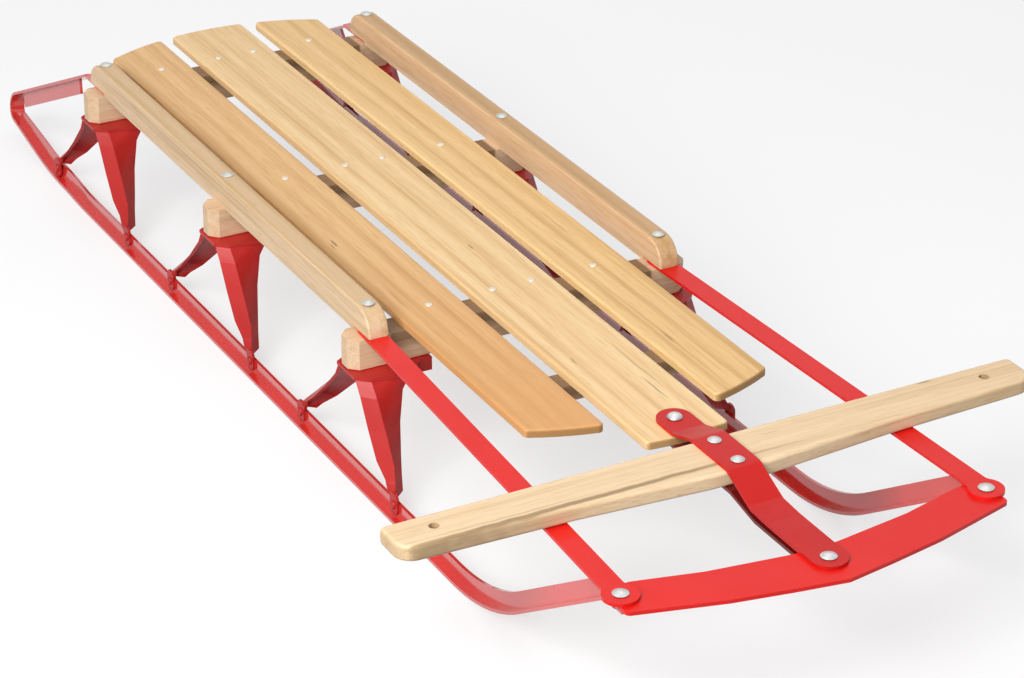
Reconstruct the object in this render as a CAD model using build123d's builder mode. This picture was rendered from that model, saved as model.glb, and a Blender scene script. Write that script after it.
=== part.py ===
from build123d import *
import math
import os

# Wooden coasting sled with three slats, steel runners and a steering bar
# X runs forward, Y to the left and Z up. The origin is on the ground, under the
# middle of the sled's length.

os.makedirs("parts", exist_ok=True)

# Stations along the sled, measured forward from the square rear end of the middle slat
station_origin = 548.0
rear_beam_station = 86.0
beam_pitch = 307.0
cleat_station = 862.0
steer_station = 981.0
bar_rear_station = 1033.5
bumper_pivot_station = 1218.0
brace_front_station = 1188.5
runner_split_station = 855.0
beam_stations = (
    rear_beam_station,
    rear_beam_station + beam_pitch,
    rear_beam_station + beam_pitch * 2,
)

# Heights above the ground
deck_top = 145.0
slat_thick = 7.5
slat_under = deck_top - slat_thick
beam_deep = 30.0
beam_under = slat_under - beam_deep

# Cross beams and cleat
beam_wide = 28.0
beam_half = 174.0
beam_chamfer = 8.5
beam_edge = 1.2
cleat_wide = 24.0
cleat_deep = 16.0
cleat_half = 104.0
cleat_round = 5.0

# Rails
rail_inset = 24.5
rail_line = beam_half - rail_inset
rail_wide = 20.0
rail_high = 28.0
rail_overhang = 22.0
rail_nose = 24.0
rail_edge = 2.0

# Slats
slat_gap = 14.2
centre_half = 40.3
side_inner = centre_half + slat_gap
rail_gap = 20.0
side_outer = rail_line - rail_wide / 2 - rail_gap
rear_arc = 250.0
front_arc = 262.0
centre_front_station = 1003.0
slat_bow = 3.1
slat_step = 41.0
slat_round = 2.4
slat_corner = 5.0

# Rivets and running clearances
shank_r = 3.0
hole_gap = 0.06
slip = 0.15
head_r = 6.0
head_high = 2.8
head_rim = 0.6
big_head_r = 7.0
steering_head_high = 4.2

# Runners, rolled to a T section
runner_inset = 3.0
runner_line = beam_half - runner_inset
flange_wide = 16.0
flange_thick = 3.0
web_thick = 3.0
web_deep = 18.0
split_gap = 2.4
front_bend = 219.0
front_bend_station = 915.0
front_bend_turn = 33.2
tip_reach = 13.5
front_web_run = 22.0
heel_bend = 530.0
heel_bend_station = 20.0
heel_bend_turn = 9.0
heel_nose_r = 16.8
heel_nose_turn = 145.3
heel_run = 76.8
heel_web_deep = 14.5
heel_notch_low = 4.0
heel_notch_high = 12.0
heel_web_gap = 30.0
heel_tab_end = 15.0
twist_run = 50.0
overrun = 5.0

# Knees, pressed from sheet
knee_sheet = 3.2
knee_saddle_thick = 3.0
knee_reach = 100.0
knee_wide = 48.0
knee_foot = 96.5
foot_tab_wide = 14.0
foot_tab_base = 6.0
foot_tab_top = 27.0
foot_tab_thick = 2.5
foot_tab_round = 6.0
lip_line = 19.0
lip_inset = 78.0
lip_long = 26.0
lip_deep = 10.0

# Braces
brace_wide = 20.0
brace_thick = 3.0
brace_fall = 2.0
brace_splay = 23.0
brace_front_line = rail_line + brace_splay
eyelet_r = 15.5
eyelet_fillet = 9.0
eyelet_slack = 1.5
tip_slack = 2.6

# Bumper plate
bumper_thick = 3.5
bumper_deep = 55.0
bumper_margin = 7.0
bumper_half = brace_front_line + bumper_margin
bumper_round = 5.0

# Steering bar
bar_wide_middle = 56.0
bar_wide_shoulder = 46.5
bar_wide_end = 41.0
bar_middle_half = 28.0
bar_shoulder_line = 150.0
bar_thick = 14.8
bar_half = 305.0
bar_over_deck = 9.4
bar_front_round = 17.0
bar_rear_round = 6.0
bar_edge = 3.5
rope_hole_r = 4.25
rope_hole_inset = 40.0
rope_hole_back = 20.0

# Straps of the steering bar
strap_wide = 32.0
strap_thick = 3.0
bar_rivet_rear = 11.0
bar_rivet_spread = 36.5
strap_tip = 16.0
strap_bend = 12.0
upper_rise_start = 30.0
upper_rise_end = 0.5
upper_fall_start = 0.5
upper_fall_end = 37.0
upper_fall_low = 62.0
upper_fall_lift = 1.5
lower_rise_start = 26.0
lower_rise_end = 6.0
lower_fall_start = 6.0
lower_fall_end = 44.0


def station(along):
    """Turn a distance from the middle slat's rear end into X."""
    return along - station_origin


def rivet(low, high, head_radius, dome):
    """Draw half the outline of a riveted pin between two faces, to be turned about Z."""
    dome_high = dome - head_rim
    dome_r = (head_radius**2 + dome_high**2) / (2 * dome_high)
    half = head_radius / 2
    Polyline(
        (0, low - head_high),
        (half, low - head_high),
        (head_radius, low - head_rim),
        (head_radius, low),
        (shank_r, low),
        (shank_r, high),
        (head_radius, high),
        (head_radius, high + head_rim),
    )
    ThreePointArc(
        (head_radius, high + head_rim),
        (half, high + dome - dome_r + math.sqrt(dome_r**2 - half**2)),
        (0, high + dome),
    )
    Line((0, high + dome), (0, low - head_high))


# Middle slat, bowed a little at each end
rear_end = station(0)
front_end = station(centre_front_station)
with BuildPart() as slat_centre:
    with BuildSketch(Plane.XY.offset(slat_under)):
        with BuildLine():
            Line((rear_end, -centre_half), (front_end, -centre_half))
            ThreePointArc(
                (front_end, -centre_half),
                (front_end + slat_bow, 0),
                (front_end, centre_half),
            )
            Line((front_end, centre_half), (rear_end, centre_half))
            ThreePointArc(
                (rear_end, centre_half),
                (rear_end - slat_bow, 0),
                (rear_end, -centre_half),
            )
        make_face()
    extrude(amount=slat_thick)
    fillet(slat_centre.edges().filter_by(Axis.Z), slat_corner)
    fillet(slat_centre.faces().sort_by(Axis.Z)[-1].edges(), slat_round)
    with Locations((station(steer_station), 0, deck_top)):
        Hole(shank_r + hole_gap)
slat_centre.part.label = "slat_centre"


# Side slats, their ends carrying on the curve of the deck's ends
def rear_edge(across):
    """X of the deck's rear edge at a distance from the middle line."""
    return rear_end - slat_bow + rear_arc - math.sqrt(rear_arc**2 - across**2)


def front_edge(across):
    """X of the side slats' front edge at a distance from the middle line."""
    return front_end + slat_bow - slat_step - front_arc + math.sqrt(front_arc**2 - across**2)


side_middle = (side_inner + side_outer) / 2
with BuildPart() as slat_right:
    with BuildSketch(Plane.XY.offset(slat_under)):
        with BuildLine():
            Line((rear_edge(side_inner), -side_inner), (front_edge(side_inner), -side_inner))
            ThreePointArc(
                (front_edge(side_inner), -side_inner),
                (front_edge(side_middle), -side_middle),
                (front_edge(side_outer), -side_outer),
            )
            Line((front_edge(side_outer), -side_outer), (rear_edge(side_outer), -side_outer))
            ThreePointArc(
                (rear_edge(side_outer), -side_outer),
                (rear_edge(side_middle), -side_middle),
                (rear_edge(side_inner), -side_inner),
            )
        make_face()
    extrude(amount=slat_thick)
    fillet(slat_right.edges().filter_by(Axis.Z), slat_corner)
    fillet(slat_right.faces().sort_by(Axis.Z)[-1].edges(), slat_round)
slat_right.part.label = "slat_right"

with BuildPart() as slat_left:
    add(slat_right.part)
    mirror(about=Plane.XZ, mode=Mode.REPLACE)
slat_left.part.label = "slat_left"

# Cross beams, with their corners cut away at the ends
beam_names = ("beam_rear", "beam_middle", "beam_front")
beams = []
for name, along in zip(beam_names, beam_stations):
    with BuildPart() as beam:
        with BuildSketch(Plane.XY.offset(beam_under)) as beam_plan:
            with Locations((station(along), 0)):
                Rectangle(beam_wide, beam_half * 2)
            chamfer(beam_plan.vertices(), beam_chamfer)
        extrude(amount=beam_deep)
        chamfer(beam.faces().sort_by(Axis.Z)[0].edges(), beam_edge)
        with Locations((station(along), rail_line, slat_under), (station(along), -rail_line, slat_under)):
            Hole(shank_r + hole_gap)
    beam.part.label = name
    beams.append(beam.part)

# Cleat under the slats, ahead of the front beam
with BuildPart() as cleat:
    with BuildSketch(Plane.XY.offset(slat_under - cleat_deep)):
        with Locations((station(cleat_station), 0)):
            RectangleRounded(cleat_wide, cleat_half * 2, cleat_round)
    extrude(amount=cleat_deep)
    chamfer(cleat.faces().sort_by(Axis.Z)[0].edges(), beam_edge)
cleat.part.label = "cleat"

# Side rails, quarter-rounded at both ends and let in over the runner tabs and braces
rail_top = slat_under + rail_high
rail_rear = station(beam_stations[0] - rail_overhang)
rail_front = station(beam_stations[2] + rail_overhang)
tab_notch_end = station(beam_stations[0] + heel_tab_end) + slip
brace_notch_end = station(beam_stations[2]) - brace_wide / 2 - slip * 4
with BuildPart() as rail_right:
    with BuildSketch(Plane.XZ.offset(rail_line)):
        with BuildLine():
            Line((rail_rear, slat_under), (rail_front, slat_under))
            Line((rail_front, slat_under), (rail_front, rail_top - rail_nose))
            RadiusArc((rail_front, rail_top - rail_nose), (rail_front - rail_nose, rail_top), -rail_nose)
            Line((rail_front - rail_nose, rail_top), (rail_rear + rail_nose, rail_top))
            RadiusArc((rail_rear + rail_nose, rail_top), (rail_rear, rail_top - rail_nose), -rail_nose)
            Line((rail_rear, rail_top - rail_nose), (rail_rear, slat_under))
        make_face()
    extrude(amount=rail_wide / 2, both=True)
    upper = rail_right.faces().filter_by(lambda f: f.center().Z > slat_under + rail_nose / 2)
    upper = upper.filter_by(Axis.Y, reverse=True)
    long_edges = [e for e in upper.edges() if abs(e.center().Y + rail_line) > rail_wide / 3]
    long_edges = [e for e in long_edges if e.center().Z > slat_under + rail_high - rail_nose]
    fillet(long_edges, rail_edge)
    with BuildSketch(Plane.XY.offset(slat_under - overrun)):
        with Locations(((rail_rear + tab_notch_end) / 2 - overrun, -rail_line)):
            Rectangle(tab_notch_end - rail_rear + overrun * 2, rail_wide + overrun)
        with Locations(((rail_front + brace_notch_end) / 2 + overrun, -rail_line)):
            Rectangle(rail_front - brace_notch_end + overrun * 2, rail_wide + overrun)
    extrude(amount=overrun + brace_thick + slip * 3, mode=Mode.SUBTRACT)
    with Locations(*[(station(along), -rail_line, rail_top) for along in beam_stations]):
        Hole(shank_r + hole_gap)
rail_right.part.label = "rail_right"

with BuildPart() as rail_left:
    add(rail_right.part)
    mirror(about=Plane.XZ, mode=Mode.REPLACE)
rail_left.part.label = "rail_left"

# Rivets through rails and beams; the front pair are the braces' rear pivots
with BuildPart() as rail_rivet:
    with BuildSketch(Plane.XZ):
        with BuildLine():
            rivet(beam_under - knee_saddle_thick, rail_top, head_r, head_high)
        make_face()
    revolve(axis=Axis.Z)
rail_rivet_places = [
    Location((station(along), side * rail_line, 0)) for along in beam_stations for side in (-1, 1)
]
with BuildPart() as rail_rivet_set:
    with Locations(*rail_rivet_places):
        add(rail_rivet.part)
rail_rivet_set.part.label = "rail_rivets"

# Runner's front, right side: flange and web drawn in side view and given their widths
tilt = math.atan2(runner_line - rail_line, slat_under + flange_thick)
turn = math.radians(front_bend_turn)
bend_x = station(front_bend_station)
bumper_top = slat_under - brace_fall
bumper_under = bumper_top - bumper_thick
tip_under = bumper_under - slip - flange_thick
tip_end = station(brace_front_station + tip_reach)
slope_x = bend_x + front_bend * math.sin(turn)
slope_z = front_bend * (1 - math.cos(turn))
tip_x = slope_x + (tip_under - slope_z) / math.tan(turn)
split_front = station(runner_split_station) + split_gap / 2
split_rear = station(runner_split_station) - split_gap / 2


def front_track(inset, start, end_run):
    """Draw the run, bend and slope of the runner's front, moved in by a depth; give its ends."""
    away = (inset * math.sin(turn), inset * math.cos(turn))
    first = (start, inset)
    slope = (slope_x - away[0], slope_z + away[1])
    last = (
        tip_x - end_run * math.cos(turn) - away[0],
        tip_under - end_run * math.sin(turn) + away[1],
    )
    Line(first, (bend_x, inset))
    CenterArc((bend_x, front_bend), front_bend - inset, -90, front_bend_turn)
    Line(slope, last)
    return first, last


with BuildPart() as runner_front_right:
    with BuildSketch(Plane.XZ.offset(runner_line)):
        with BuildLine():
            under = front_track(0, split_front, 0)
            over = front_track(flange_thick, split_front, 0)
            Line(under[0], over[0])
            Line(under[1], over[1])
        make_face()
        with BuildLine():
            Polyline(
                (tip_x - flange_thick, tip_under - flange_thick / 2),
                (tip_x, tip_under),
                (tip_end, tip_under),
                (tip_end, tip_under + flange_thick),
                (tip_x - flange_thick * math.tan(turn / 2), tip_under + flange_thick),
                (tip_x - flange_thick * 2, tip_under + flange_thick / 2),
                close=True,
            )
        make_face()
    extrude(amount=flange_wide / 2, both=True)
    with BuildSketch(Plane.XZ.offset(runner_line)):
        with BuildLine():
            low = front_track(flange_thick, split_front, front_web_run / 2)
            top = front_track(web_deep, split_front, front_web_run)
            Line(low[0], top[0])
            Line(low[1], top[1])
        make_face()
    extrude(amount=web_thick / 2, both=True)
    with Locations((station(brace_front_station), -brace_front_line, tip_under + flange_thick)):
        Hole(shank_r + tip_slack)
runner_front_right.part.label = "runner_front_right"

with BuildPart() as runner_front_left:
    add(runner_front_right.part)
    mirror(about=Plane.XZ, mode=Mode.REPLACE)
runner_front_left.part.label = "runner_front_left"

# Fixed runner: flat run, then the heel loop in a plane that leans in to the rail line;
# the web is cut away round the loop's nose and ends short of the tab
heel_lift = flange_wide / 2 * math.sin(tilt)
heel_plane = Plane(
    origin=(0, -runner_line, heel_lift),
    x_dir=(1, 0, 0),
    z_dir=(0, -math.cos(tilt), math.sin(tilt)),
)
heel_x = station(heel_bend_station)
twist_x = heel_x + twist_run
heel_turn = math.radians(heel_bend_turn)
nose_turn = math.radians(heel_nose_turn)
rise_turn = math.pi - heel_turn - nose_turn
curve_end = (
    heel_x - heel_bend * math.sin(heel_turn),
    heel_bend * (1 - math.cos(heel_turn)),
)
nose_start = (
    curve_end[0] - heel_run * math.cos(heel_turn),
    curve_end[1] + heel_run * math.sin(heel_turn),
)
nose_centre = (
    nose_start[0] + heel_nose_r * math.sin(heel_turn),
    nose_start[1] + heel_nose_r * math.cos(heel_turn),
)
tab_top = slat_under + flange_thick


def t_section(lean):
    """Outline of the T about its own foot, leaned by an angle."""
    half_f = flange_wide / 2
    half_w = web_thick / 2
    outline = (
        (-half_f, 0),
        (half_f, 0),
        (half_f, flange_thick),
        (half_w, flange_thick),
        (half_w, web_deep),
        (-half_w, web_deep),
        (-half_w, flange_thick),
        (-half_f, flange_thick),
    )
    cos_l, sin_l = math.cos(lean), math.sin(lean)
    return [
        (a * cos_l + b * sin_l - runner_line, b * cos_l - (a - half_f) * sin_l) for a, b in outline
    ]


def heel_point(start, lean, along, inset):
    """Point a distance along a leg of the loop from its start, moved to its left."""
    return (
        start[0] + along * math.cos(lean) - inset * math.sin(lean),
        start[1] + along * math.sin(lean) + inset * math.cos(lean),
    )


def heel_arc(inset):
    """Draw the heel's bend, moved in by a depth."""
    CenterArc((heel_x, heel_bend), heel_bend - inset, -90 - heel_bend_turn, heel_bend_turn)


def heel_track(inset, end_x):
    """Draw the loop's heel curve, nose and rising leg, moved in by a depth; give its ends."""
    leave = heel_point(rise_leave, rise_turn, 0, -inset)
    last = (end_x, leave[1] + (end_x - leave[0]) * math.tan(rise_turn))
    heel_arc(inset)
    Line(
        heel_point(curve_end, -heel_turn, 0, inset),
        heel_point(nose_start, -heel_turn, 0, inset),
    )
    CenterArc(nose_centre, heel_nose_r - inset, 90 + math.degrees(rise_turn), heel_nose_turn)
    Line(leave, last)
    return (heel_x, inset), last


rise_leave = (
    nose_centre[0] - heel_nose_r * math.sin(rise_turn),
    nose_centre[1] + heel_nose_r * math.cos(rise_turn),
)
tab_rise = (tab_top - heel_lift) / math.cos(tilt) - rise_leave[1]
tab_start = rise_leave[0] + tab_rise / math.tan(rise_turn)
tab_end = station(beam_stations[0] + heel_tab_end)
with BuildPart() as runner_right:
    with BuildSketch(Plane.YZ.offset(twist_x)):
        with BuildLine():
            Polyline(*t_section(0), close=True)
        make_face()
    extrude(amount=split_rear - twist_x)
    with BuildSketch(Plane.YZ.offset(twist_x)):
        with BuildLine():
            Polyline(*t_section(0), close=True)
        make_face()
    with BuildSketch(Plane.YZ.offset(heel_x)):
        with BuildLine():
            Polyline(*t_section(tilt), close=True)
        make_face()
    loft(ruled=True)
    with BuildSketch(heel_plane):
        with BuildLine():
            under = heel_track(0, tab_start)
            over = heel_track(flange_thick, tab_start + flange_thick / 2)
            Line(under[0], over[0])
            Line(under[1], over[1])
        make_face()
    extrude(amount=flange_wide / 2, both=True)
    with BuildSketch(heel_plane):
        with BuildLine():
            notch = heel_point(nose_start, -heel_turn, heel_notch_low, flange_thick)
            notch_top = heel_point(nose_start, -heel_turn, heel_notch_low, heel_web_deep)
            for inset, end in ((flange_thick, notch), (web_deep, notch_top)):
                heel_arc(inset)
                Line(heel_point(curve_end, -heel_turn, 0, inset), end)
            Line(notch, notch_top)
            Line((heel_x, flange_thick), (heel_x, web_deep))
        make_face()
        with BuildLine():
            web_run = (tab_start - heel_web_gap - rise_leave[0]) / math.cos(rise_turn)
            Polyline(
                heel_point(rise_leave, rise_turn, heel_notch_high, -flange_thick),
                heel_point(rise_leave, rise_turn, heel_notch_high, -web_deep),
                heel_point(rise_leave, rise_turn, web_run, -web_deep),
                heel_point(rise_leave, rise_turn, web_run, -flange_thick),
                close=True,
            )
        make_face()
    extrude(amount=web_thick / 2, both=True)
    with BuildSketch(Plane.XY.offset(slat_under)):
        with Locations(((tab_start + tab_end) / 2, -rail_line)):
            Rectangle(tab_end - tab_start, flange_wide)
    extrude(amount=flange_thick)
    with Locations((station(beam_stations[0]), -rail_line, tab_top)):
        Hole(shank_r + hole_gap)
runner_right.part.label = "runner_right"

with BuildPart() as runner_left:
    add(runner_right.part)
    mirror(about=Plane.XZ, mode=Mode.REPLACE)
runner_left.part.label = "runner_left"

# Knee under one end of a beam: a saddle and two creased legs splayed to the runner's web
# Each row gives a height as a share of the beam's, then the leg's outer edge, crease
# and inner edge: the distance along from the beam as a share of the knee's reach, and
# the distance out past the beam's end as a share of the knee's width.
front_leg_shares = (
    # height, edge along, edge out, crease along, crease out, inner along, inner out
    (0.9907, 0.20, 0.0, 0.30, -0.23, 0.36, -1.0),
    (0.856, 0.31, 0.0, 0.43, -0.23, 0.36, -0.833),
    (0.614, 0.46, 0.0, 0.60, -0.23, 0.46, -0.667),
    (0.391, 0.62, 0.0, 0.77, -0.21, 0.63, -0.5),
    (0.307, 0.81, 0.02, 0.89, -0.104, 0.76, -0.375),
    (0.2, 0.87, 0.025, 1.0, 0.0125, 0.88, -0.271),
)
rear_leg_shares = (
    # height, edge along, edge out, crease along, crease out, inner along, inner out
    (0.9907, 0.12, 0.0, 0.19, -0.23, 0.25, -1.0),
    (0.856, 0.20, 0.0, 0.28, -0.23, 0.22, -0.833),
    (0.614, 0.45, 0.0, 0.55, -0.23, 0.43, -0.667),
    (0.391, 0.71, 0.0, 0.82, -0.19, 0.66, -0.5),
    (0.279, 0.86, 0.02, 0.94, -0.104, 0.79, -0.333),
    (0.2, 0.88, 0.025, 1.0, 0.0125, 0.88, -0.271),
)
saddle_front_shares = (
    # along, out
    (0.215, 0.025),
    (0.32, -0.219),
    (0.385, -1.04),
    (0.19, -1.375),
    (0.19, -1.625),
)
saddle_rear_shares = (
    # along, out
    (0.19, -1.625),
    (0.19, -1.375),
    (0.275, -1.04),
    (0.21, -0.219),
    (0.135, 0.025),
)
web_face = runner_line + web_thick / 2
saddle_under = beam_under - knee_saddle_thick


def knee_place(along_share, out_share):
    """Point of a knee in plan, from the beam's middle line and the sled's."""
    return along_share * knee_reach, -beam_half - out_share * knee_wide


def folded(edge, crease, inner):
    """Outline of a creased sheet through three points, its thickness on the left."""
    first = Vector(*crease) - Vector(*edge)
    second = Vector(*inner) - Vector(*crease)
    n_first = Vector(-first.Y, first.X).normalized() * knee_sheet
    n_second = Vector(-second.Y, second.X).normalized() * knee_sheet
    share = 1 + n_first.dot(n_second) / knee_sheet**2
    mitre = (n_first + n_second) * (1 / share)
    return [
        edge,
        crease,
        inner,
        (inner[0] + n_second.X, inner[1] + n_second.Y),
        (crease[0] + mitre.X, crease[1] + mitre.Y),
        (edge[0] + n_first.X, edge[1] + n_first.Y),
    ]


legs = []
for leg_shares in (front_leg_shares, rear_leg_shares):
    with BuildPart() as leg:
        for height, *places in leg_shares:
            with BuildSketch(Plane.XY.offset(height * beam_under)):
                with BuildLine():
                    points = [knee_place(places[i], places[i + 1]) for i in (0, 2, 4)]
                    Polyline(*folded(*points), close=True)
                make_face()
        loft(ruled=True)
        with BuildSketch(Plane.XZ.offset(web_face)):
            with Locations((knee_foot, (foot_tab_base + foot_tab_top) / 2)):
                RectangleRounded(foot_tab_wide, foot_tab_top - foot_tab_base, foot_tab_round)
        extrude(amount=foot_tab_thick)
        with BuildSketch(Plane.YZ.offset(lip_line)):
            with Locations((lip_inset - beam_half - lip_long / 2, beam_under)):
                Rectangle(lip_long, lip_deep + knee_saddle_thick, align=(Align.CENTER, Align.MAX))
        extrude(amount=-knee_saddle_thick)
    legs.append(leg.part)
with BuildPart() as knee:
    add(legs[1])
    mirror(about=Plane.YZ, mode=Mode.REPLACE)
    add(legs[0])
    with BuildSketch(Plane.XY.offset(saddle_under)):
        with BuildLine():
            front_side = [knee_place(a, b) for a, b in saddle_front_shares]
            rear_side = [knee_place(-a, b) for a, b in saddle_rear_shares]
            Polyline(*front_side, *rear_side, close=True)
        make_face()
    extrude(amount=knee_saddle_thick)
    with Locations((0, -rail_line, beam_under)):
        Hole(shank_r + hole_gap)
knees = {}
for row, along in zip(("rear", "middle", "front"), beam_stations):
    with BuildPart() as knee_right:
        with Locations((station(along), 0, 0)):
            add(knee.part)
    with BuildPart() as knee_left:
        add(knee_right.part)
        mirror(about=Plane.XZ, mode=Mode.REPLACE)
    knee_right.part.label = "knee_" + row + "_right"
    knee_left.part.label = "knee_" + row + "_left"
    knees[row] = (knee_right.part, knee_left.part)

# Braces from the rails to the ends of the bumper, falling a little on the way
pivot_rear = Vector(station(beam_stations[2]), -rail_line)
pivot_front = Vector(station(brace_front_station), -brace_front_line)
brace_run = pivot_front - pivot_rear
brace_under = slat_under + slip
brace_front_top = bumper_top + slip + brace_thick
brace_plane = Plane(
    origin=(pivot_rear.X, pivot_rear.Y, brace_under),
    x_dir=(brace_run.X, brace_run.Y, -brace_fall),
    z_dir=(
        brace_fall * brace_run.X / brace_run.length,
        brace_fall * brace_run.Y / brace_run.length,
        brace_run.length,
    ),
)
with BuildPart() as brace_right:
    with BuildSketch(brace_plane) as brace_plan:
        with Locations((brace_run.length / 2, 0)):
            Rectangle(brace_run.length, brace_wide)
        with Locations((brace_run.length, 0)):
            Circle(eyelet_r)
        corners = brace_plan.vertices().sort_by(Axis.X)[2:4]
        fillet(corners, eyelet_fillet)
        Circle(brace_wide / 2)
        Circle(shank_r + hole_gap, mode=Mode.SUBTRACT)
        with Locations((brace_run.length, 0)):
            Circle(shank_r + eyelet_slack, mode=Mode.SUBTRACT)
    extrude(amount=brace_thick)
brace_right.part.label = "brace_right"

with BuildPart() as brace_left:
    add(brace_right.part)
    mirror(about=Plane.XZ, mode=Mode.REPLACE)
brace_left.part.label = "brace_left"

# Bumper plate, a shallow V in plan; rows give the distance ahead of its pivot as a
# share of its depth, and the distance out as a share of its half length
bumper_shares = (
    # ahead, out
    (-0.34, 0.0),
    (-0.375, 0.13),
    (-0.56, 0.53),
    (-0.83, 0.86),
    (-0.85, 1.0),
    (-0.14, 1.0),
    (0.26, 0.55),
    (0.44, 0.26),
    (0.58, 0.0),
)
bumper_x = station(bumper_pivot_station)
with BuildPart() as bumper:
    with BuildSketch(Plane.XY.offset(bumper_under)) as bumper_plan:
        with BuildLine():
            left = [(bumper_x + a * bumper_deep, b * bumper_half) for a, b in bumper_shares]
            right = [(a, -b) for a, b in reversed(left[1:-1])]
            Polyline(*left, *right, close=True)
        make_face()
        ends = [v for v in bumper_plan.vertices() if abs(v.Y) > brace_front_line]
        fillet(ends, bumper_round)
        with Locations((bumper_x, 0)):
            Circle(shank_r + hole_gap, mode=Mode.SUBTRACT)
        with Locations((pivot_front.X, pivot_front.Y), (pivot_front.X, -pivot_front.Y)):
            Circle(shank_r + hole_gap, mode=Mode.SUBTRACT)
    extrude(amount=bumper_thick)
bumper.part.label = "bumper"

# Steering bar: straight behind, drawn in towards rounded ends in front, a rope hole near each
bar_top = deck_top + bar_over_deck
bar_under = bar_top - bar_thick
bar_rear = station(bar_rear_station)
rope_x = bar_rear + rope_hole_back
rope_hole_line = bar_half - rope_hole_inset
rivet_rear_x = bar_rear + bar_rivet_rear
rivet_front_x = rivet_rear_x + bar_rivet_spread
with BuildPart() as steering_bar:
    with BuildSketch(Plane.XY.offset(bar_under)) as bar_plan:
        with BuildLine():
            front_left = (
                (bar_rear + bar_wide_middle, bar_middle_half),
                (bar_rear + bar_wide_shoulder, bar_shoulder_line),
                (bar_rear + bar_wide_end, bar_half),
            )
            front_right = [(a, -b) for a, b in reversed(front_left)]
            Polyline(*front_left, (bar_rear, bar_half), (bar_rear, -bar_half), *front_right, close=True)
        make_face()
        rear_corners = [v for v in bar_plan.vertices() if v.X < rope_x]
        fillet(rear_corners, bar_rear_round)
        front_corners = [v for v in bar_plan.vertices() if v.X > rope_x and abs(v.Y) > rope_hole_line]
        fillet(front_corners, bar_front_round)
    extrude(amount=bar_thick)
    fillet(steering_bar.faces().filter_by(Axis.Z).edges(), bar_edge)
    with Locations((rope_x, rope_hole_line, bar_top), (rope_x, -rope_hole_line, bar_top)):
        Hole(rope_hole_r)
    with Locations((rivet_rear_x, 0, bar_top), (rivet_front_x, 0, bar_top)):
        Hole(shank_r + hole_gap)
steering_bar.part.label = "steering_bar"

# Straps over and under the bar, joggled between slat, bar and bumper
strap_rear = station(steer_station) - strap_tip
strap_front = bumper_x + strap_tip
bar_front = bar_rear + bar_wide_middle
under_slat = slat_under - slip - strap_thick
under_bar = bar_under - strap_thick
under_bumper = bumper_under - slip - strap_thick


def strap(lower):
    """Draw a flat bar's side outline from the points of its lower face."""
    upper = [(a, b + strap_thick) for a, b in lower]
    FilletPolyline(*lower, radius=strap_bend)
    FilletPolyline(*upper, radius=strap_bend)
    Line(lower[0], upper[0])
    Line(lower[-1], upper[-1])


upper_points = (
    (strap_rear, deck_top + slip),
    (bar_rear - upper_rise_start, deck_top + slip),
    (bar_rear + upper_rise_end, bar_top),
    (bar_front - upper_fall_start, bar_top),
    (bar_front + upper_fall_end, bumper_top + slip + upper_fall_lift),
    (bar_front + upper_fall_low, bumper_top + slip),
    (strap_front, bumper_top + slip),
)
lower_points = (
    (strap_rear, under_slat),
    (bar_rear - lower_rise_start, under_slat),
    (bar_rear - lower_rise_end, under_bar),
    (bar_front + lower_fall_start, under_bar),
    (bar_front + lower_fall_end, under_bumper),
    (strap_front, under_bumper),
)
straps = []
for name, points in (("strap_upper", upper_points), ("strap_lower", lower_points)):
    with BuildPart() as strap_part:
        with BuildSketch(Plane.XZ):
            with BuildLine():
                strap(points)
            make_face()
        extrude(amount=strap_wide / 2, both=True)
        with BuildSketch(Plane.XY):
            with Locations(((strap_rear + strap_front) / 2, 0)):
                SlotOverall(strap_front - strap_rear, strap_wide)
        extrude(amount=rail_top + overrun, mode=Mode.INTERSECT)
        with Locations(
            (station(steer_station), 0, rail_top),
            (bumper_x, 0, rail_top),
            (rivet_rear_x, 0, rail_top),
            (rivet_front_x, 0, rail_top),
        ):
            Hole(shank_r + hole_gap)
    strap_part.part.label = name
    straps.append(strap_part.part)

# Rivets of the steering: pivot in the slat, the pair through the bar, and the bumper's three
bar_grip = (under_bar, bar_top + strap_thick)
end_grip = (tip_under - slip, brace_front_top + slip)
pin_rows = (
    # name, X, Y, low face, high face, head radius, head height
    ("steering_rivet", station(steer_station), 0, under_slat - slip,
     deck_top + slip * 2 + strap_thick, big_head_r, steering_head_high),
    ("bar_rivets", rivet_rear_x, 0, *bar_grip, head_r, head_high),
    ("bar_rivets", rivet_front_x, 0, *bar_grip, head_r, head_high),
    ("bumper_rivets", bumper_x, 0, under_bumper - slip,
     bumper_top + slip * 2 + strap_thick, big_head_r, head_high),
    ("bumper_rivets", pivot_front.X, pivot_front.Y, *end_grip, big_head_r, head_high),
    ("bumper_rivets", pivot_front.X, -pivot_front.Y, *end_grip, big_head_r, head_high),
)
rivet_sets = {}
for name, pin_x, pin_y, low, high, radius, dome in pin_rows:
    with BuildPart() as pin:
        with BuildSketch(Plane.XZ):
            with BuildLine():
                rivet(low, high, radius, dome)
            make_face()
        revolve(axis=Axis.Z)
    rivet_sets.setdefault(name, []).append(pin.part.moved(Location((pin_x, pin_y, 0))))

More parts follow.
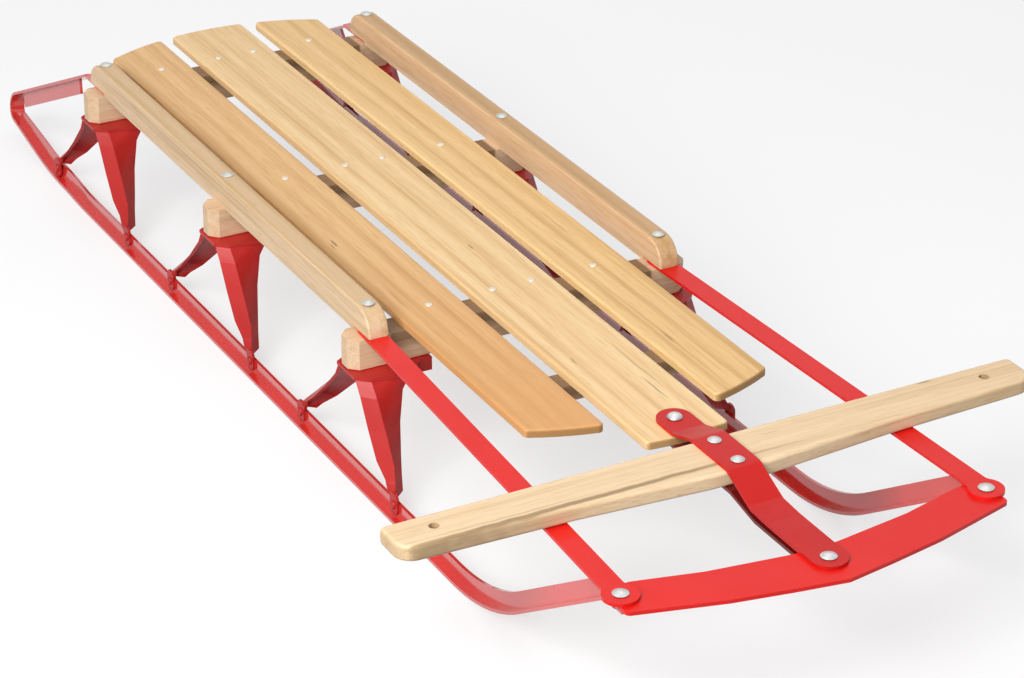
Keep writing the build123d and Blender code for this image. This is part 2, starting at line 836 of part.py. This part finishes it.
export_step(slat_centre.part, "parts/slat_centre.step")
export_step(slat_right.part, "parts/slat_right.step")
export_step(slat_left.part, "parts/slat_left.step")
for beam in beams:
    export_step(beam, "parts/" + beam.label + ".step")
export_step(cleat.part, "parts/cleat.step")
export_step(rail_right.part, "parts/rail_right.step")
export_step(rail_left.part, "parts/rail_left.step")
export_step(rail_rivet_set.part, "parts/rail_rivets.step")
export_step(runner_right.part, "parts/runner_right.step")
export_step(runner_left.part, "parts/runner_left.step")
export_step(runner_front_right.part, "parts/runner_front_right.step")
export_step(runner_front_left.part, "parts/runner_front_left.step")
for pair in knees.values():
    for one in pair:
        export_step(one, "parts/" + one.label + ".step")
export_step(brace_right.part, "parts/brace_right.step")
export_step(brace_left.part, "parts/brace_left.step")
export_step(bumper.part, "parts/bumper.step")
export_step(steering_bar.part, "parts/steering_bar.step")
for one in straps:
    export_step(one, "parts/" + one.label + ".step")
for name, pins in rivet_sets.items():
    pin_set = Compound(label=name, children=pins) if len(pins) > 1 else pins[0]
    pin_set.label = name
    export_step(pin_set, "parts/" + name + ".step")
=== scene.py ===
import math

import bpy
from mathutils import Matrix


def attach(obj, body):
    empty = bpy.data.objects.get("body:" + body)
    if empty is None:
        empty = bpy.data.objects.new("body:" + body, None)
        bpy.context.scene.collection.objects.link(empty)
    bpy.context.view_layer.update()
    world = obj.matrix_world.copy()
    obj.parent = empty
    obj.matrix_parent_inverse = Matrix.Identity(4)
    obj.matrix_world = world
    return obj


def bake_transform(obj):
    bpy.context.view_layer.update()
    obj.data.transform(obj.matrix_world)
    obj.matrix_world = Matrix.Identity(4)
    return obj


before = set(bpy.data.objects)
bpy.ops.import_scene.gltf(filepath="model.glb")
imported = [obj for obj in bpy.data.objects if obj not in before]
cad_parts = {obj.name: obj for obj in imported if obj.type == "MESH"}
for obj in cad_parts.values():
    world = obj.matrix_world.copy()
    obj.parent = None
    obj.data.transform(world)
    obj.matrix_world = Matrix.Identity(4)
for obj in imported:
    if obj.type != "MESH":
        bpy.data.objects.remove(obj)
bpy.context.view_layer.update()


# The view: the sled stands on a white studio floor, seen from ahead, from its right
# and from above, through a long lens. One large soft lamp stands at the sled's right
# front, and a weak one hangs over it.
scene = bpy.context.scene
scene.view_settings.view_transform = "Standard"

camera_data = bpy.data.cameras.new("camera")
camera_data.sensor_width = 36.0
camera_data.lens = 115.99
camera_data.clip_end = 60.0
camera = bpy.data.objects.new("camera", camera_data)
camera.location = (2.50785, -1.27922, 1.49433)
camera.rotation_euler = (math.radians(62.4003), math.radians(-0.1516), math.radians(61.6546))
scene.collection.objects.link(camera)
scene.camera = camera

lamp_rows = (
    # name, place, aim, size, power
    ("lamp_front", (1.85, -2.4, 2.35), (0.0, 0.0, 0.1), 2.4, 174.0),
    ("lamp_over", (-0.7, 0.7, 3.0), (0.0, 0.0, 0.1), 2.2, 16.0),
)
for name, place, aim, size, power in lamp_rows:
    bpy.ops.object.light_add(type="AREA", location=place)
    lamp = bpy.context.object
    lamp.name = name
    lamp.data.size = size
    lamp.data.energy = power
    away = [a - b for a, b in zip(aim, place)]
    flat = math.hypot(away[0], away[1])
    lamp.rotation_euler = (
        math.pi / 2 + math.atan2(away[2], flat), 0.0, math.atan2(away[1], away[0]) - math.pi / 2
    )


class Value:
    """One value in a finish; sums on it add Math nodes."""

    def __init__(self, finish, socket):
        self.finish, self.socket = finish, socket

    def sum(self, how, *terms):
        return self.finish.node("Math", dict(enumerate(terms)), operation=how)

    def __add__(self, other): return self.sum("ADD", self, other)
    def __radd__(self, other): return self.sum("ADD", other, self)
    def __sub__(self, other): return self.sum("SUBTRACT", self, other)
    def __rsub__(self, other): return self.sum("SUBTRACT", other, self)
    def __mul__(self, other): return self.sum("MULTIPLY", self, other)
    def __rmul__(self, other): return self.sum("MULTIPLY", other, self)
    def __truediv__(self, other): return self.sum("DIVIDE", self, other)
    def __pow__(self, other): return self.sum("POWER", self, other)
    def __abs__(self): return self.sum("ABSOLUTE", self)
    def held(self): return self.finish.node("Clamp", {0: self})


class Finish:
    """The nodes of one finish on the sled, or of the studio's light."""

    def __init__(self, owner):
        owner.use_nodes = True
        self.owner = owner
        self.tree = owner.node_tree
        shaders = ("BSDF_PRINCIPLED", "BACKGROUND")
        self.shader = next(node for node in self.tree.nodes if node.type in shaders)

    def put(self, socket, value):
        if isinstance(value, Value):
            self.tree.links.new(value.socket, socket)
        else:
            socket.default_value = value

    def node(self, kind, sockets=None, out=0, stops=None, **settings):
        """Add a node with its settings, then its sockets' values or links."""
        made = self.tree.nodes.new("ShaderNode" + kind)
        for key, value in settings.items():
            setattr(made, key, value)
        if stops:
            ramp = made.color_ramp
            while len(ramp.elements) < len(stops):
                ramp.elements.new(0.5)
            for element, (place, colour) in zip(ramp.elements, stops):
                element.position = place
                element.color = (*colour, 1.0)
        for key, value in (sockets or {}).items():
            self.put(made.inputs[key], value)
        return Value(self, made.outputs[out])

    def mix(self, share, low, high):
        """Mix two colours by a share."""
        low, high = [c if isinstance(c, Value) else (*c, 1.0) for c in (low, high)]
        sockets = {0: share, 6: low, 7: high}
        return self.node("Mix", sockets, out=2, data_type="RGBA")

    def stretched(self, coords, scale):
        """Coordinates drawn out along a direction."""
        return self.node("VectorMath", {0: coords, 1: scale}, operation="MULTIPLY")

    def parts(self, vector):
        """The three parts of a vector."""
        return [self.node("SeparateXYZ", {0: vector}, out=i) for i in (0, 1, 2)]

    def noise(self, coords, scale, detail=2.0, rough=0.5):
        """Fractal noise from 0 to 1."""
        sockets = {"Vector": coords, "Scale": scale, "Detail": detail, "Roughness": rough}
        return self.node("TexNoise", sockets)

    def background_rays(self):
        """1 for the rays that show the white background."""
        return (
            self.node("LightPath", out="Is Camera Ray")
            + self.node("LightPath", out="Is Glossy Ray")
            + self.node("LightPath", out="Is Transmission Ray")
        ).held()

    def give(self, **sockets):
        """Set the shader's own sockets, with their names' spaces as underscores."""
        for key, value in sockets.items():
            self.put(self.shader.inputs[key.replace("_", " ")], value)
        return self.owner


# The floor: a pale sheet that runs out of sight, white to the eye and in the enamel,
# that throws little light back up and keeps the sled's soft shadow.
floor_size = 30.0
floor_albedo = 0.33
floor_cloud = 0.02
floor_dark = (0.0, 0.0, 0.0)
floor_white = (0.64, 0.64, 0.645)
bpy.ops.mesh.primitive_plane_add(size=floor_size, location=(0.0, 0.0, 0.0))
floor = bpy.context.object
floor.name = "floor"
floor_finish = Finish(bpy.data.materials.new("floor_paper"))
floor_place = floor_finish.node("TexCoord", out="Object")
floor_tone = floor_finish.noise(floor_place, 0.8) * floor_cloud + floor_albedo
floor_grey = floor_finish.node("CombineColor", {0: floor_tone, 1: floor_tone, 2: floor_tone})
floor.data.materials.append(
    floor_finish.give(
        Base_Color=floor_grey,
        Roughness=0.9,
        Specular_IOR_Level=0.0,
        Emission_Color=floor_finish.mix(floor_finish.background_rays(), floor_dark, floor_white),
        Emission_Strength=1.0,
    )
)

sky_low = (0.11, 0.11, 0.112)
sky_high = (0.32, 0.32, 0.326)
sky_white = (1.0, 1.0, 1.0)
scene.world = bpy.data.worlds.new("studio")
sky = Finish(scene.world)
sky_up = sky.parts(sky.node("TexCoord", out="Generated"))[2].held()
sky_light = sky.mix(sky_up, sky_low, sky_high)
sky.give(Color=sky.mix(sky.background_rays(), sky_light, sky_white), Strength=1.0)


# Slats, beams, cleat, rails and steering bar: pale hardwood, planed, eased along the
# edges and clear varnished. The grain runs along each plank, with a few dark pins and
# streaks. Painted shade darkens the beams' tops between the rails, where the slats lie
# on them, and the rails' tops.
warm_wood = (0.66, 0.30, 0.10)
# painted shade: the colour of the shade on the beams between the slats
gap_shade_colour = (0.13, 0.06, 0.02)
gap_shade_half = 0.136  # half the width of the beams between the rails
gap_shade_low = 0.118  # height at which the beams' sides start to darken


def wood(name, shift, tones, across, figure, end_dark, top_shade, warm, marks):
    pale, middle, deep = tones
    finish = Finish(bpy.data.materials.new(name))
    coords = finish.node("TexCoord", out="Object")
    turned = (0.0, 0.0, math.radians(90.0) if across else 0.0)
    place = finish.node("Mapping", {"Vector": coords, "Location": shift, "Rotation": turned})
    bend = finish.noise(finish.stretched(place, (1.6, 14.0, 14.0)), 1.0, 2.0)
    rings = finish.node(
        "TexWave",
        {
            "Vector": finish.stretched(place, (0.5, 15.0, 7.0)),
            "Scale": 1.0,
            "Distortion": 8.0,
            "Detail": 3.0,
            "Detail Scale": 0.8,
        },
        out="Fac",
        wave_type="BANDS",
        bands_direction="Y",
        wave_profile="SIN",
    )
    streaks = finish.noise(finish.stretched(place, (3.5, 210.0, 210.0)), 1.0, 4.0, 0.65)
    pores = finish.noise(finish.stretched(place, (30.0, 900.0, 900.0)), 1.0, 1.0)
    tone = rings * (0.30 * figure) + streaks * 0.85 + bend * 0.45 - 0.15 * figure - 0.145
    stops = ((0.2, deep), (0.48, middle), (0.78, pale))
    colour = finish.node("ValToRGB", {"Fac": tone.held()}, stops=stops)
    colour = finish.mix(((0.44 - pores) * 9.0).held() * 0.45, colour, deep)
    x, y, z = finish.parts(coords)
    if warm:
        colour = finish.mix(((x - 0.02) * 3.0).held() * warm, colour, warm_wood)
    # painted shade: the beams' tops and upper sides between the rails are darkened, as shaded by
    # the slats
    if across and not figure:
        gap_shade_mask = ((gap_shade_half - abs(y)) * 400.0).held() * ((z - gap_shade_low) * 90.0).held()
        colour = finish.mix(gap_shade_mask * 0.82, colour, gap_shade_colour)
    waver = (finish.noise(finish.stretched(coords, (40.0, 40.0, 40.0)), 1.0, 2.0) - 0.5) * 0.004
    for mark_x, mark_y, half_x, half_y, strength in marks:
        off_x = (x + waver - mark_x) / half_x
        off_y = (y + waver - mark_y) / half_y
        mark = ((1.25 - (off_x**2 + off_y**2) ** 0.5) * 1.6).held() * strength
        colour = finish.mix(mark, colour, [c * 0.45 for c in deep])
    facing = finish.parts(finish.node("NewGeometry", out="Normal"))
    end = ((abs(facing[1] if across else facing[0]) - 0.45) * 2.0).held() * end_dark
    colour = finish.mix(end, colour, [c * 0.72 for c in deep])
    # painted shade: the top faces are darkened towards the deep tone
    if top_shade:
        colour = finish.mix(((facing[2] - 0.4) * 2.5).held() * top_shade, colour, deep)
    grain = finish.node(
        "Bump", {"Strength": 0.18, "Distance": 0.0006, "Height": streaks * 0.7 + pores * 0.3}
    )
    return finish.give(
        Base_Color=colour,
        Roughness=0.42 + streaks * 0.16,
        Normal=grain,
        Specular_IOR_Level=0.3,
        Coat_Weight=0.12,
        Coat_Roughness=0.25,
    )


def wear(name, finish):
    """Give one CAD node its finish."""
    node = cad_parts[name]
    node.data.materials.clear()
    node.data.materials.append(finish)


# marks: x, y, half length along x, half length along y, strength
slat_centre_marks = (
    (0.056, 0.003, 0.006, 0.0013, 0.6),
    (0.2995, -0.023, 0.007, 0.0012, 0.5),
    (0.375, 0.015, 0.022, 0.0012, 0.55),
    (0.33, 0.022, 0.05, 0.0010, 0.45),
)
slat_right_marks = (
    (-0.010, -0.106, 0.008, 0.0012, 0.8),
    (-0.004, -0.110, 0.006, 0.0009, 0.6),
    (0.12, -0.105, 0.02, 0.0009, 0.35),
)
slat_left_marks = ((0.2995, 0.073, 0.012, 0.0012, 0.5), (0.05, 0.098, 0.03, 0.0010, 0.3))
bar_marks = (
    (0.5265, -0.15, 0.0028, 0.185, 0.8),
    (0.5345, -0.235, 0.008, 0.075, 0.38),
    (0.4896, 0.214, 0.0013, 0.007, 0.7),
    (0.5205, -0.20, 0.0010, 0.07, 0.35),
    (0.5055, -0.265, 0.0044, 0.0044, 0.95),
    (0.5055, 0.265, 0.0044, 0.0044, 0.95),
)
# tones: pale, middle, deep
slat_right_tones = ((0.82, 0.52, 0.245), (0.725, 0.435, 0.185), (0.54, 0.28, 0.095))
slat_centre_tones = ((0.89, 0.64, 0.35), (0.81, 0.55, 0.275), (0.62, 0.37, 0.15))
slat_left_tones = ((0.87, 0.60, 0.29), (0.78, 0.505, 0.22), (0.59, 0.34, 0.12))
beam_tones = ((0.78, 0.59, 0.40), (0.69, 0.48, 0.30), (0.52, 0.31, 0.16))
rail_right_tones = ((0.84, 0.63, 0.43), (0.76, 0.55, 0.35), (0.53, 0.33, 0.14))
rail_left_tones = ((0.78, 0.55, 0.34), (0.69, 0.45, 0.26), (0.48, 0.27, 0.10))
bar_tones = ((0.86, 0.66, 0.43), (0.79, 0.58, 0.355), (0.60, 0.39, 0.19))
along, across = False, True
wood_rows = (
    # node, shift, tones, grain, figure, dark ends, painted shade on top, warm front, marks
    ("slat_right", (0.13, 0.31, 0.0), slat_right_tones,
     along, 0.8, 0.95, 0.0, 0.6, slat_right_marks),
    ("slat_centre", (2.4, 1.17, 0.2), slat_centre_tones,
     along, 0.8, 0.95, 0.0, 0.0, slat_centre_marks),
    ("slat_left", (4.9, 0.83, 0.4), slat_left_tones,
     along, 0.8, 0.95, 0.0, 0.0, slat_left_marks),
    ("beam_rear", (1.1, 5.3, 0.1), beam_tones, across, 0.0, 0.0, 0.0, 0.0, ()),
    ("beam_middle", (3.1, 2.3, 0.5), beam_tones, across, 0.0, 0.0, 0.0, 0.0, ()),
    ("beam_front", (5.1, 7.3, 0.9), beam_tones, across, 0.0, 0.0, 0.0, 0.0, ()),
    ("cleat", (7.1, 1.3, 0.3), beam_tones, across, 0.0, 0.0, 0.0, 0.0, ()),
    ("rail_right", (6.2, 2.9, 0.6), rail_right_tones, along, 0.7, 0.1, 0.5, 0.0, ()),
    ("rail_left", (8.3, 4.1, 0.8), rail_left_tones, along, 0.7, 0.1, 0.5, 0.0, ()),
    ("steering_bar", (9.4, 6.2, 0.2), bar_tones, across, 0.6, 0.5, 0.0, 0.0, bar_marks),
)
for name, *row in wood_rows:
    wear(name, wood(name + "_wood", *row))


# Red steel: runners, knees, braces, bumper and straps, rolled and pressed from mild
# steel and dipped in enamel, which lies a little uneven. Braces and bumper are bright;
# the other reds are copies of it with painted shade and painted sheen: the upper strap
# and the knees a little darker, the strap under the bar dark, and the knees and runners
# pinker. The runners have the highest gloss.
def enamel(name, thin, thick, gloss, blur=0.20):
    finish = Finish(bpy.data.materials.new(name))
    place = finish.node("TexCoord", out="Object")
    cloud = finish.noise(place, 9.0, 3.0)
    peel = finish.noise(place, 420.0, 1.0)
    scuff = finish.noise(finish.stretched(place, (30.0, 30.0, 90.0)), 1.0, 4.0, 0.7)
    height = peel * 0.6 + cloud * 0.8
    return finish.give(
        Base_Color=finish.mix((cloud * 1.6 - 0.3).held(), thick, thin),
        Roughness=blur + (scuff - 0.4).held() * 0.30,
        Normal=finish.node("Bump", {"Strength": 0.08, "Distance": 0.0004, "Height": height}),
        Specular_IOR_Level=0.2 + gloss * 0.3,
        Coat_Weight=gloss,
        Coat_Roughness=blur * 0.4,
        Coat_IOR=1.62,
    )


bright_red = enamel("bright_enamel", (0.74, 0.012, 0.008), (0.64, 0.009, 0.007), 0.1, blur=0.36)
# painted shade: the upper strap's red is a darker copy of the bright red
strap_shade_red = enamel("strap_shade_enamel", (0.57, 0.010, 0.008), (0.48, 0.008, 0.006), 0.05, blur=0.34)
# painted shade: the strap under the bar gets a dark copy of the red
dark_shade_red = enamel("dark_shade_enamel", (0.17, 0.008, 0.008), (0.12, 0.006, 0.006), 0.2)
# painted shade and painted sheen: the knees' red is deeper and a little pinker
knee_shade_sheen_red = enamel("knee_shade_sheen_enamel", (0.51, 0.022, 0.018), (0.36, 0.010, 0.009), 0.12, blur=0.42)
# painted sheen: the runners' red is pinker than the bright red
runner_sheen_red = enamel("runner_sheen_enamel", (0.66, 0.036, 0.029), (0.55, 0.026, 0.020), 0.8)
red_rows = (
    # start of the nodes' names, finish
    ("brace_", bright_red),
    ("strap_upper", strap_shade_red),
    ("strap_lower", dark_shade_red),
    ("runner_", runner_sheen_red),
    ("knee_", knee_shade_sheen_red),
)
for start, finish in red_rows:
    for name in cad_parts:
        if name.startswith(start):
            wear(name, finish)
wear("bumper", bright_red)


# Runner joints: the steel runner is one piece in the real sled. These short lengths of
# its T section fill the gap at which the model bends each runner.
split_x = 0.307
split_gap = 0.0024
runner_out = 0.171
web_half = 0.0015
web_high = 0.015
flange_wide = 0.016
flange_thick = 0.003
joint_rows = (
    # side, name, body that bends away
    (-1, "runner_joint_right", "runner_front_right_unit"),
    (1, "runner_joint_left", "runner_front_left_unit"),
)
for side, name, body in joint_rows:
    runner_y = side * runner_out
    bpy.ops.object.select_all(action="DESELECT")
    bpy.ops.mesh.primitive_cube_add(size=1.0, location=(split_x, runner_y, flange_thick / 2))
    joint = bpy.context.object
    joint.name = name
    joint.scale = (split_gap, flange_wide, flange_thick)
    bpy.ops.object.transform_apply(location=True, rotation=True, scale=True)
    bpy.ops.object.mode_set(mode="EDIT")
    for cut in (-web_half, web_half):
        bpy.ops.mesh.select_all(action="SELECT")
        bpy.ops.mesh.bisect(plane_co=(split_x, runner_y + cut, 0.0), plane_no=(0.0, 1.0, 0.0))
    bpy.ops.mesh.select_all(action="DESELECT")
    bpy.ops.mesh.select_mode(type="FACE")
    bpy.ops.object.mode_set(mode="OBJECT")
    for face in joint.data.polygons:
        face.select = face.normal.z > 0.9 and abs(face.center.y - runner_y) < web_half
    bpy.ops.object.mode_set(mode="EDIT")
    bpy.ops.mesh.extrude_region_move(TRANSFORM_OT_translate={"value": (0.0, 0.0, web_high)})
    bpy.ops.object.mode_set(mode="OBJECT")
    joint.data.materials.append(runner_sheen_red)
    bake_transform(joint)


# Rivets: zinc-plated steel, headed over at both ends, with painted shade on the
# head's rim where it meets what it holds.
rim_shade_colour = (0.12, 0.07, 0.06)


def plate(name, dull, bright, rim_shade_depth, metal):
    finish = Finish(bpy.data.materials.new(name))
    place = finish.node("TexCoord", out="Object")
    spangle = finish.node("TexVoronoi", {"Vector": place, "Scale": 700.0}, out="Distance")
    dulled = finish.noise(place, 260.0, 3.0)
    facing = finish.parts(finish.node("NewGeometry", out="Normal"))
    # painted shade: the head's steep sides darken towards the rim colour
    rim_shade = ((0.80 - abs(facing[2])) * 3.0).held() * rim_shade_depth
    height = spangle * 0.5 + dulled * 0.5
    return finish.give(
        Base_Color=finish.mix(rim_shade, finish.mix(dulled, dull, bright), rim_shade_colour),
        Metallic=metal,
        Roughness=0.34 + dulled * 0.22,
        Normal=finish.node("Bump", {"Strength": 0.12, "Distance": 0.0003, "Height": height}),
    )


steel_zinc = plate("steel_zinc", (0.42, 0.42, 0.42), (0.74, 0.73, 0.72), 0.92, 0.85)
rail_zinc = plate("rail_zinc", (0.42, 0.43, 0.39), (0.66, 0.67, 0.62), 0.45, 0.75)
slat_zinc = plate("slat_zinc", (0.68, 0.61, 0.50), (0.80, 0.73, 0.62), 0.10, 0.35)
wear("rail_rivets", rail_zinc)
for name in ("bar_rivets", "bumper_rivets", "steering_rivet"):
    wear(name, steel_zinc)


# Slat rivets: low heads that hold the slats to the beams, two across the middle slat
# and one on each side slat, a little behind each beam's middle line.
def head(name, radius, high, place, turned=(0.0, 0.0, 0.0)):
    """Model one low rivet head standing on a face."""
    bpy.ops.object.select_all(action="DESELECT")
    bpy.ops.mesh.primitive_cylinder_add(
        vertices=20, radius=radius, depth=high, location=place, rotation=turned
    )
    made = bpy.context.object
    made.name = name
    for face in made.data.polygons:
        face.select = face.normal.z > 0.9
    for edge in made.data.edges:
        edge.select = all(made.data.vertices[v].co.z > 0.0 for v in edge.vertices)
    for vertex in made.data.vertices:
        vertex.select = vertex.co.z > 0.0
    bpy.ops.object.mode_set(mode="EDIT")
    bpy.ops.mesh.bevel(offset=high * 0.8, segments=3, profile=0.5)
    bpy.ops.object.mode_set(mode="OBJECT")
    bpy.ops.object.transform_apply(location=True, rotation=True, scale=True)
    bpy.ops.object.shade_smooth_by_angle(angle=math.radians(35.0))
    return made


def join(name, pieces, finish):
    """Join like heads to one piece that rides on the frame."""
    bpy.ops.object.select_all(action="DESELECT")
    for piece in pieces:
        piece.select_set(True)
    bpy.context.view_layer.objects.active = pieces[0]
    bpy.ops.object.join()
    whole = bpy.context.object
    whole.name = name
    whole.data.materials.clear()
    whole.data.materials.append(finish)
    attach(whole, "sled_frame")


beam_x = (-0.462, -0.155, 0.152)
deck_z = 0.145
slat_head_r = 0.0036
slat_head_high = 0.0010
slat_head_sink = 0.0001
slat_head_back = 0.008
slat_head_y = (-0.085, -0.020, 0.020, 0.085)
slat_head_z = deck_z + slat_head_high / 2 - slat_head_sink
slat_heads = [
    head("slat_head", slat_head_r, slat_head_high, (x - slat_head_back, y, slat_head_z))
    for x in beam_x
    for y in slat_head_y
]
join("slat_rivets", slat_heads, slat_zinc)


# Foot rivets: one domed head on each knee's foot, through the runner's web, dipped in
# the same red enamel as the foot.
foot_head_r = 0.0042
foot_head_high = 0.0022
foot_head_out = 0.176
foot_head_z = 0.0155
foot_reach = 0.0965
foot_heads = []
for x in beam_x:
    for reach in (-foot_reach, foot_reach):
        for side in (-1, 1):
            place = (x + reach, side * foot_head_out, foot_head_z)
            turned = (math.radians(-90.0 * side), 0.0, 0.0)
            foot_heads.append(head("foot_head", foot_head_r, foot_head_high, place, turned))
join("foot_rivets", foot_heads, knee_shade_sheen_red)
